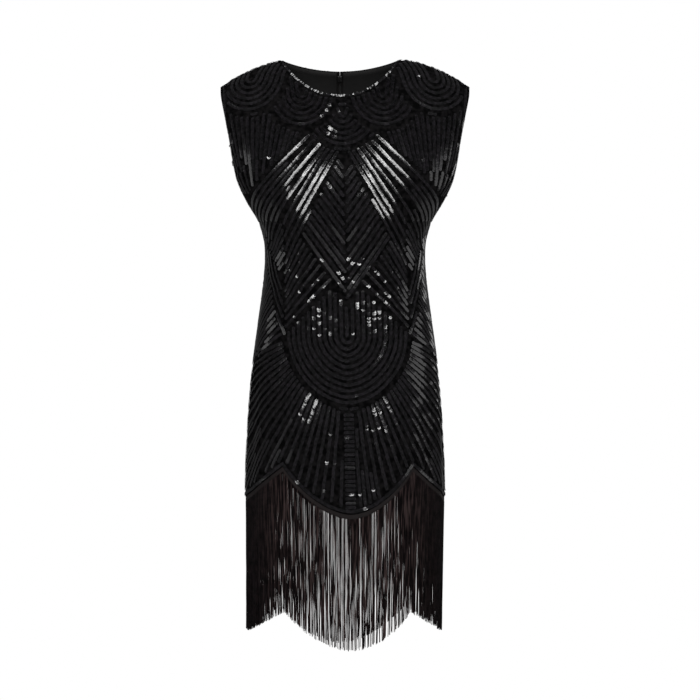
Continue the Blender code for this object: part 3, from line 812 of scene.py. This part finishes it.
def make_edge_rolls(cloth, look):
    """Turned-in edges of the neck and armholes, over the shell and its lining."""
    lines = []
    for label, (edge, normal, _) in edge_lines(cloth).items():
        pieces = [edge - normal * EDGE_ROLL_RADIUS]
        if label == "neck" and cloth.side is BACK:
            beside = edge[:, 0] - cloth.points[0, CENTRE, 0]
            pieces = [pieces[0][beside > SLIDER_HOLD], pieces[0][beside < -SLIDER_HOLD]]
        lines += pieces
    return tube_mesh(f"turned_edges_{cloth.side.name}", lines, repeat(EDGE_ROLL_RADIUS),
                     ROLL_SIDES, look)


def make_stitches(cloth, look):
    """Running stitches that hold the turned edges down."""
    lines = []
    for edge, normal, inner in edge_lines(cloth).values():
        inward = unit(inner - edge)
        path = edge + inward * STITCH_INSET + normal * STITCH_LIFT
        along = lengths(path)
        for start in np.arange(STITCH_LENGTH, along[-1] - STITCH_PITCH, STITCH_PITCH):
            line = read_rows(start + np.linspace(0, STITCH_LENGTH, 3), along, path)
            from_seam = abs(line[1, 0] - cloth.points[0, CENTRE, 0])
            if cloth.side is FRONT or from_seam >= STITCH_SEAM_CLEAR:
                lines.append(line)
    return tube_mesh(f"stitches_{cloth.side.name}", lines, repeat(STITCH_RADIUS), FINE_SIDES,
                     look)


# ---- zip

def make_zip_teeth(cloth, look):
    """Two rows of moulded coil, meeting down the middle of the centre back seam."""
    seam, normal = cloth.points[:, CENTRE], cloth.normals[:, CENTRE]
    path = seam - normal * COIL_DEPTH
    shown = (path[:, 2] < SLIDER_HEIGHT - SLIDER_REACH) & (path[:, 2] > ZIP_END_HEIGHT)
    path = path[shown]
    along = lengths(path)
    hook = np.array(TOOTH_HOOK)
    lines = []
    for number, place in enumerate(np.arange(0, along[-1], TOOTH_PITCH / 2)):
        side = 1 if number % 2 else -1
        line = np.tile(read_rows(place, along, path), (len(hook), 1))
        line[:, 0] += side * hook[:, 0] * TOOTH_REACH
        line[:, 2] += hook[:, 1] * TOOTH_PITCH
        lines.append(line)
    return tube_mesh("zip_teeth", lines, repeat(TOOTH_RADIUS), FINE_SIDES, look)


def make_tape_ends(cloth, look):
    """Ends of the zip's tapes, rolled over once above the slider so that they meet."""
    top, normal = cloth.points[0, CENTRE], cloth.normals[0, CENTRE]
    up = unit(cloth.points[0, CENTRE] - cloth.points[TAPE_END_ROWS, CENTRE])
    width, height = TAPE_END
    lines = []
    for side in (-1, 1):
        for number in range(TAPE_END_ROLLS):
            drop = mix(TAPE_END_RADIUS, height - TAPE_END_RADIUS, number / (TAPE_END_ROLLS - 1))
            share = np.linspace(0, 1, len(TAPE_END_TAPER))[:, None]
            aside = side * mix(TAPE_END_GAP, width, share) * (1, 0, 0)
            inward = TAPE_END_DEPTH + TAPE_END_STAGGER * (number % 2)
            drop = drop + TAPE_END_DROOP * share ** 2
            lines.append(top + aside - up * drop - normal * inward)
    radii = TAPE_END_RADIUS * np.array(TAPE_END_TAPER)
    return tube_mesh("zip_tape_ends", lines, repeat(radii), ROLL_SIDES, look)


# ---- fringe

def hem_line(cloth, drop, depth, across):
    """Points under the hem's edge, following its creases."""
    height = scallop_height(HEM, across) - HEADING_GAP - drop
    point = body_point(cloth.side, across, height)
    shift = read_rows(across, ACROSS, cloth.hem_shift)
    normal = read_rows(across, ACROSS, cloth.normals[-1])
    return point + shift * (1, 1, 0) - normal * depth


def make_heading(cloth, look):
    """Narrow woven tape that carries the fringe, its upper edge behind the hem."""
    columns = ACROSS[::NET_STEP]
    rows = [(-TUCKED_HEIGHT, TUCKED_DEPTH), (-HEADING_GAP, TUCKED_DEPTH)]
    drops = np.linspace(HEADING_TOP, HEADING_HEIGHT, HEADING_ROWS)
    rows += [(drop, HEADING_DEPTH) for drop in drops]
    points = np.stack([hem_line(cloth, drop, depth, columns) for drop, depth in rows])
    name = f"fringe_heading_{cloth.side.name}"
    return sheet_mesh(name, points, cloth.side.forward < 0, HEADING_WALL, look)


def make_threads(cloth, look):
    """Twisted threads that hang from the heading and gather into uneven clumps."""
    place = cloth.x[-1]
    crowding = np.array(DENSITY).T
    density = np.interp(ACROSS, *crowding)
    density += smooth_noise(len(place), DENSITY_SPACING) * DENSITY_SPREAD
    filled = np.cumsum(np.gradient(place) * density)
    inset = FRINGE_INSET * density[0]
    goal = np.linspace(filled[0] + inset, filled[-1] - inset, THREADS)
    across = np.interp(goal + rng.normal(0, PLACE_SPREAD, THREADS), filled, ACROSS)
    drop, depth = HEADING_HEIGHT - THREAD_UPPER_END, HEADING_DEPTH + THREAD_BACKSET
    root = hem_line(cloth, drop, depth, across)
    normal = unit(read_rows(across, ACROSS, cloth.normals[-1]) * (1, 1, 0))
    beside = np.stack([-normal[:, 1], normal[:, 0], 0 * across], 1)
    end = scallop_height(FRINGE_END, across) + abs(rng.normal(0, END_SPREAD, THREADS))
    end += np.where(rng.random(THREADS) < SHORT_SHARE, SHORT_BY, 0)
    clump = smooth_noise(THREADS, THREADS_CLUMPED) * THREAD_CLUMP
    clump += smooth_noise(THREADS, THREADS_DRIFTING) * THREAD_DRIFT
    from_seam = np.minimum(np.arange(THREADS), np.arange(THREADS)[::-1])
    clump *= np.clip(from_seam / SEAM_THREADS, 0, 1) * MM
    clump *= np.clip(NO_CLUMP_DENSITY - np.interp(across, *crowding), LEAST_CLUMP, 1)
    sway = smooth_noise(THREADS, THREADS_SWAYING) * THREAD_SWAY
    group = np.cumsum(rng.random(THREADS) < 1 / THREADS_GATHERED)
    spot = np.interp(across, ACROSS, place) * MM
    middles = np.bincount(group, spot) / np.maximum(np.bincount(group), 1)
    gather = (middles[group] - spot) * -cloth.side.forward * TIP_GATHER
    share = np.linspace(0, 1, THREAD_STEPS)
    lean = 1 - THREAD_LEAN * share[:, None]
    lines, radii = [], []
    for k in range(THREADS):
        drop = share * (root[k, 2] - end[k])
        turn = 2 * np.pi * (drop / rng.uniform(*TURN_LENGTHS) + rng.random())
        kink = 2 * np.pi * (drop / rng.uniform(*KINK_LENGTHS) + rng.random())
        swing = mix(SWING_AT_ROOT, 1, share) * MM
        aside = clump[k] * share ** CLUMP_POWER + gather[k] * share ** 2
        aside += swing * (TURN_ASIDE * np.sin(turn) + KINK_ASIDE * np.sin(kink))
        outward = sway[k] * share + swing * TURN_OUTWARD * np.cos(turn)
        line = root[k] * (1, 1, 0) * lean
        line = line + beside[k] * aside[:, None] + normal[k] * outward[:, None]
        line[:, 2] = root[k, 2] - drop
        lines.append(line)
        radii.append(THREAD_RADIUS * (1 - THREAD_TAPER * share) * rng.uniform(*THREAD_SIZES))
    return tube_mesh(f"fringe_threads_{cloth.side.name}", lines, radii, FINE_SIDES, look)


# ---- materials

# Each wanders between two colours in patches, so many to a metre, where a noise runs from low
# to high. Its relief is a weave with level or slanting threads, a grain or a net's mesh.
# Colours are in thousandths.
Look = namedtuple("Look", "colour other patches roughness specular relief limits coat",
                  defaults=(None, (0.35, 0.65), 0.0))
Relief = namedtuple("Relief", "kind scale strength depth")
LOOKS = {
    "sequins": Look((1.5, 1.5, 2), (10.5, 8.8, 11.5), 180, 0.13, 0.70, limits=(0.44, 0.58)),
    "net": Look((1.2, 1.2, 1.3), (8.2, 7.6, 8), 110, 0.8, 0.03,
                Relief("MESH", 900, 0.6, 0.0004), limits=(0.40, 0.62)),
    "lining": Look((18.5, 18.2, 18.2), (22.5, 21.8, 21.8), 22, 0.6, 0.12,
                   Relief("DIAGONAL", 700, 0.25, 0.0002)),
    "fringe_thread": Look((1.4, 0.7, 0.9), (10.5, 6.2, 7), 90, 0.5, 0.08,
                          Relief("DIAGONAL", 260, 0.8, 0.0006)),
    "heading_tape": Look((12, 9.2, 9.2), (16.5, 12.8, 12.8), 60, 0.6, 0.15,
                         Relief("Z", 500, 0.4, 0.0003)),
    "turned_edge": Look((3.5, 3.4, 3.4), (6, 5.8, 5.8), 120, 0.7, 0.06,
                        Relief("DIAGONAL", 600, 0.4, 0.0003)),
    "zip_tape": Look((11, 10.7, 10.7), (14.5, 14, 14), 90, 0.7, 0.12,
                     Relief("Z", 800, 0.4, 0.0003)),
    "nylon_coil": Look((17, 16.8, 17), (22, 21.5, 22), 200, 0.4, 0.35),
    "enamelled_zinc": Look((10, 10, 10.5), (18, 17.8, 18.5), 260, 0.3, 0.5,
                           Relief("GRAIN", 900, 0.15, 0.0002), coat=0.3),
}
# Painted backlight: the lighter, browner colour painted on the fringe's threads in the thin
# middle, in patches stretched down the threads
PAINTED_BACKLIGHT_COLOUR = (98, 67, 65)
LIT_PATCHES, LIT_LIMITS, LIT_STRETCH = 340, (0.48, 0.62), (1, 1, 0.06)


def add_nodes(look, *kinds):
    return [look.node_tree.nodes.new(f"ShaderNode{kind}") for kind in kinds]


def set_inputs(node, **values):
    for label, value in values.items():
        node.inputs[label.replace("_", " ")].default_value = value


def link(owner, *wires):
    """Links nodes: each wire is a node and its output, then a node and its input."""
    for start, output, end, place in wires:
        owner.node_tree.links.new(start.outputs[output], end.inputs[place])


def rgba(colour):
    return (*(part / 1000 for part in colour), 1)


def new_material(name, colour, roughness, specular=0.5, coat=0.0):
    look = bpy.data.materials.new(name)
    look.use_nodes = True
    shader = look.node_tree.nodes["Principled BSDF"]
    set_inputs(shader, Base_Color=rgba(colour), Roughness=roughness,
               Specular_IOR_Level=specular, Coat_Weight=coat)
    return look, shader


def vary_colour(look, shader, other, patches, limits, stretch=(1, 1, 1)):
    """Wanders between the shader's own colour and another; gives the span and the blend."""
    where, along, noise, span, blend = add_nodes(look, "TexCoord", "Mapping", "TexNoise",
                                                 "MapRange", "Mix")
    set_inputs(along, Scale=stretch)
    set_inputs(noise, Scale=patches, Detail=3)
    set_inputs(span, From_Min=limits[0], From_Max=limits[1])
    blend.data_type = "RGBA"
    own = shader.inputs["Base Color"]
    blend.inputs[6].default_value = own.default_value
    blend.inputs[7].default_value = rgba(other)
    if own.is_linked:
        look.node_tree.links.new(own.links[0].from_socket, blend.inputs[6])
    link(look, (where, "Object", along, "Vector"), (along, "Vector", noise, "Vector"),
         (noise, "Fac", span, "Value"), (span, "Result", blend, 0),
         (blend, 2, shader, "Base Color"))
    return span, blend


def add_relief(look, shader, relief):
    kind = {"GRAIN": "TexNoise", "MESH": "TexVoronoi"}.get(relief.kind, "TexWave")
    texture, where, bump = add_nodes(look, kind, "TexCoord", "Bump")
    if kind == "TexVoronoi":
        texture.feature = "DISTANCE_TO_EDGE"
    if kind == "TexWave":
        texture.bands_direction = relief.kind
        set_inputs(texture, Distortion=1.0)
    set_inputs(texture, Scale=relief.scale)
    set_inputs(bump, Strength=relief.strength, Distance=relief.depth)
    height = "Distance" if relief.kind == "MESH" else "Fac"
    link(look, (where, "Object", texture, "Vector"), (texture, height, bump, "Height"),
         (bump, "Normal", shader, "Normal"))


def make_look(name, with_shader=False):
    plan = LOOKS[name]
    look, shader = new_material(f"black_{name}", plan.colour, plan.roughness, plan.specular,
                                plan.coat)
    vary_colour(look, shader, plan.other, plan.patches, plan.limits)
    if plan.relief:
        add_relief(look, shader, plan.relief)
    return (look, shader) if with_shader else look


def make_thread_look():
    """Warm black, and painted backlight: thread by thread, the thin middle is painted lighter and
    browner, where light comes through.
    """
    look, shader = make_look("fringe_thread", with_shader=True)
    lit, blend = vary_colour(look, shader, PAINTED_BACKLIGHT_COLOUR, LIT_PATCHES, LIT_LIMITS, LIT_STRETCH)
    where, parts, reach, fade, share = add_nodes(look, "TexCoord", "SeparateXYZ", "Math",
                                                 "MapRange", "Math")
    reach.operation, share.operation = "ABSOLUTE", "MULTIPLY"
    set_inputs(fade, From_Min=PAINTED_BACKLIGHT_REACH[0], From_Max=PAINTED_BACKLIGHT_REACH[1], To_Min=1, To_Max=0)
    link(look, (where, "Object", parts, 0), (parts, "X", reach, 0), (reach, 0, fade, "Value"),
         (fade, "Result", share, 0), (lit, "Result", share, 1), (share, 0, blend, 0))
    return look


# ---- studio

AMBIENT = 0.125
LIGHT_AIM = np.array((0, 0, -0.25))
# Softboxes as seen from the dress: top and foot as azimuth from the front and elevation in
# degrees, distance and width in metres, and brightness. The two keys lean together at the top.
Softbox = namedtuple("Softbox", "name top foot distance width brightness")
SOFTBOXES = (
    Softbox("key_left", (5, 53), (-25, 12), 3.2, 0.44, 9.8),
    Softbox("key_right", (-1, 48), (24, 12), 3.2, 0.36, 10.5),
    Softbox("front", (0, 56), (0, 20), 3.5, 3.0, 0.05),
    Softbox("fill_left", (-77, 35), (-77, 1), 3.0, 0.8, 1.0),
    Softbox("fill_right", (74, 34), (74, 0), 3.0, 1.4, 0.95),
    Softbox("edge_right", (130, 31), (130, 1), 3.0, 0.6, 1.2),
    Softbox("back", (180, 30), (180, 10), 3.2, 1.0, 4.0),
)
CAMERA_DISTANCE = 8.0
CAMERA_PLACE = (0.00875, -0.48825)
FRAME_WIDTH = 1.225
FLOOR_REACH, FLOOR_HEIGHT = 3.0, -1.35
FLOOR_COLOUR, FLOOR_ROUGHNESS = (860, 860, 860), 0.9


def make_camera():
    data = bpy.data.cameras.new("camera")
    data.lens = data.sensor_width * CAMERA_DISTANCE / FRAME_WIDTH
    camera = add_object("camera", data)
    camera.location = (CAMERA_PLACE[0], -CAMERA_DISTANCE, CAMERA_PLACE[1])
    camera.rotation_euler = (math.radians(90), 0, 0)
    bpy.context.scene.camera = camera


def light_direction(azimuth, elevation):
    turn, rise = math.radians(azimuth), math.radians(elevation)
    flat = math.cos(rise)
    return np.array((flat * math.sin(turn), -flat * math.cos(turn), math.sin(rise)))


def make_softbox(box):
    """Rectangular area light between its top and foot, facing the dress."""
    top, foot = [LIGHT_AIM + box.distance * light_direction(*end) for end in (box.top, box.foot)]
    middle = (top + foot) / 2
    height = float(np.linalg.norm(top - foot))
    data = bpy.data.lights.new(box.name, "AREA")
    data.shape = "RECTANGLE"
    data.size, data.size_y = box.width, height
    data.energy = box.brightness * math.pi * box.width * height
    upward, backward = unit(top - foot), unit(middle - LIGHT_AIM)
    axes = Matrix((np.cross(upward, backward), upward, backward)).transposed()
    made = add_object(box.name, data)
    made.matrix_world = Matrix.Translation(middle) @ axes.to_4x4()


def make_world():
    """White to the camera, and a weak even light to everything else."""
    world = bpy.data.worlds.new("studio")
    world.use_nodes = True
    seen, output = [world.node_tree.nodes[name] for name in ("Background", "World Output")]
    around, path, join = add_nodes(world, "Background", "LightPath", "MixShader")
    set_inputs(seen, Color=(1, 1, 1, 1))
    set_inputs(around, Color=(1, 1, 1, 1), Strength=AMBIENT)
    link(world, (path, "Is Camera Ray", join, 0), (around, 0, join, 1), (seen, 0, join, 2),
         (join, 0, output, "Surface"))
    bpy.context.scene.world = world


def make_floor():
    look, _ = new_material("pale_floor", FLOOR_COLOUR, FLOOR_ROUGHNESS)
    square = [(x * FLOOR_REACH, y * FLOOR_REACH, FLOOR_HEIGHT)
              for x, y in ((-1, -1), (1, -1), (1, 1), (-1, 1))]
    floor = mesh_object("floor", square, [[0, 1, 2, 3]], look, smooth=False)


# ---- build

def dress_piece(made, slot, *nodes):
    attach(made, "dress")
    if nodes:
        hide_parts(*nodes)
    return made


def paint_node(name, look):
    """Gives a CAD node that stays in sight a finer material."""
    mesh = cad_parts[name].data
    mesh.materials.clear()
    mesh.materials.append(look)


# A layer of panels: their names, the nodes that they replace, their slot, the step through
# the grid, how many rows it stops short of the hem, its depth, its wall and its back edges
Layer = namedtuple("Layer", "kind node slot step short depth wall setback")
NET = Layer("net", "shell", "beaded_net", NET_STEP, 0, 0, NET_WALL, seam_spread)
SATIN = Layer("satin", "lining", "lining", LINING_STEP, LINING_HEM_ROWS, LINING_DEPTH,
              LINING_WALL, lining_setback)


def make_layer(front, back, layer, look):
    rows = slice(None, len(DOWN) - layer.short, layer.step)
    halves = {"front": (front, slice(None, None, layer.step), None),
              "back_left": (back, slice(CENTRE, None, layer.step), layer.setback),
              "back_right": (back, slice(CENTRE, None, -layer.step), layer.setback)}
    made = {}
    for label, (cloth, columns, setback) in halves.items():
        made[label] = panel(f"{layer.kind}_{label}", cloth, rows, columns, layer.depth,
                            layer.wall, look, setback)
        dress_piece(made[label], layer.slot, f"{layer.node}_{label}")
    return made


def make_sequins(front, back, look):
    front_rows, back_rows = sew_rows(front), sew_rows(back)
    seam = back.points[0, CENTRE, 0] / MM
    groups = {
        "front_upper": [row for row in front_rows if row.points[:, 2].mean() > SEQUIN_SPLIT],
        "front_lower": [row for row in front_rows if row.points[:, 2].mean() <= SEQUIN_SPLIT],
        "back_left": [row for row in back_rows if row.points[:, 0].mean() > seam],
        "back_right": [row for row in back_rows if row.points[:, 0].mean() <= seam],
    }
    made = {}
    for label, rows in groups.items():
        made[label] = dress_piece(sequin_mesh(f"sequins_{label}", rows, look), "beaded_net")
    return made


def make_zip(back):
    coil_look, tape_look, metal_look = (
        make_look(name) for name in ("nylon_coil", "zip_tape", "enamelled_zinc"))
    dress_piece(make_zip_teeth(back, coil_look), "zip_tape", "zip_coil")
    dress_piece(make_tape_ends(back, tape_look), "zip_tape")
    for name in ("zip_tape_left", "zip_tape_right"):
        paint_node(name, tape_look)
    for name in ("zip_slider", "zip_pull_tab"):
        paint_node(name, metal_look)


def make_fringe(cloth, shells, heading_look, thread_look):
    heading = dress_piece(make_heading(cloth, heading_look), "fringe")
    threads = make_threads(cloth, thread_look)
    dress_piece(threads, "fringe", f"fringe_{cloth.side.name}")


def main():
    front, back = Cloth(FRONT), Cloth(BACK)
    shells = make_layer(front, back, NET, make_look("net"))
    linings = make_layer(front, back, SATIN, make_look("lining"))
    sequins = make_sequins(front, back, make_look("sequins"))
    edge_look = make_look("turned_edge")
    for cloth in (front, back):
        dress_piece(make_edge_rolls(cloth, edge_look), "lining")
        dress_piece(make_stitches(cloth, edge_look), "lining")
    make_zip(back)
    fringe_looks = make_look("heading_tape"), make_thread_look()
    make_fringe(front, [shells["front"]], *fringe_looks)
    make_fringe(back, [shells["back_left"], shells["back_right"]], *fringe_looks)

    make_floor()
    make_world()
    for box in SOFTBOXES:
        make_softbox(box)
    make_camera()
    bpy.context.scene.view_settings.view_transform = "Standard"


main()
